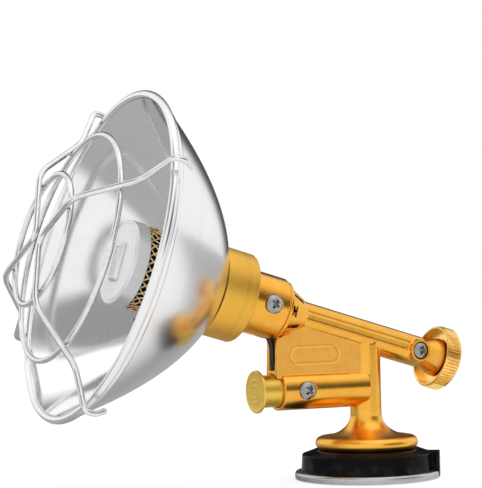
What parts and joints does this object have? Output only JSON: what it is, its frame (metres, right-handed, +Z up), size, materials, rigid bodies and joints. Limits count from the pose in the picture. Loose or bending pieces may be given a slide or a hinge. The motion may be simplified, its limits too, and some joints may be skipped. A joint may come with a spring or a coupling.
{
  "type": "radiant gas heater head",
  "caption": "Radiant heater head for a butane cartridge: parabolic bowl with wire guard and mesh burner on a cast body with needle valve, piezo igniter and locking can adapter.",
  "frame": {"origin": "centre of the can seat, on the underside of the lock plate", "axes": "+Z up along the column, -X towards the bowl, the head axis tilted up 16.4 degrees from -X, Y across"},
  "size_m": [0.2075, 0.1434, 0.1692],
  "materials": {
    "gold_cast": "satin gold anodised casting",
    "gold_polished": "polished gold",
    "gold_knob": "satin gold, turned and knurled",
    "gold_button": "brushed pale gold",
    "gold_collar": "brushed dull brass",
    "screw_steel": "bright nickel",
    "black_nylon": "glossy",
    "plate_steel": "brushed",
    "rubber": "matte",
    "brass": "turned",
    "copper": "drawn copper tube",
    "white_plastic": "moulded",
    "spring_steel": "drawn wire",
    "igniter_plastic": "moulded",
    "lead_rubber": "silicone sleeve",
    "ceramic": "glazed",
    "burner_steel": "pressed",
    "bowl_chrome": "polished",
    "mesh_brass": "woven wire, heat darkened",
    "cap_aluminium": "satin",
    "guard_chrome": "polished"
  },
  "bodies": {
    "head": {"body_shell_near": "gold_cast", "body_shell_far": "gold_cast", "shell_screws": "screw_steel", "pillar_foot": "gold_polished", "adapter_ring": "black_nylon", "lock_plate": "plate_steel", "lock_screws": "screw_steel", "foot_screws": "screw_steel", "can_seal": "rubber", "inlet_probe": "brass", "gas_riser": "copper", "valve_body": "gold_cast", "spindle_seal": "rubber", "gland_nut": "brass", "gas_tube": "copper", "jet_holder": "brass", "jet_nozzle": "brass", "button_spring": "spring_steel", "igniter_case": "igniter_plastic", "hv_lead": "lead_rubber", "electrode_insulator": "ceramic", "electrode_wire": "spring_steel", "mixing_tube": "burner_steel", "head_collar": "gold_collar", "collar_disc": "burner_steel", "reflector_bowl": "bowl_chrome", "bowl_nut": "screw_steel", "burner_plate": "burner_steel", "burner_drum": "burner_steel", "burner_mesh": "mesh_brass", "burner_cap": "cap_aluminium", "guard_wire_near": "guard_chrome", "guard_wire_far": "guard_chrome", "guard_ring_outer": "guard_chrome", "guard_ring_inner": "guard_chrome"},
    "knob": {"control_knob": "gold_knob", "knob_screw": "screw_steel", "needle_spindle": "brass"},
    "button": {"push_button": "gold_button", "igniter_plunger": "white_plastic"}
  },
  "joints": [
    {"name": "knob_turn", "type": "hinge", "parent": "head", "child": "knob", "pos_m": [0.03837, 0, 0.05171], "axis": [-0.9593, 0, 0.2823], "range_deg": [0, 450]},
    {"name": "button_press", "type": "slide", "parent": "head", "child": "button", "axis": [1, 0, 0], "range_m": [0, 0.0065], "stiffness_N_per_m": 900, "springref_m": -0.002, "deforming": ["button_spring"]}
  ]
}
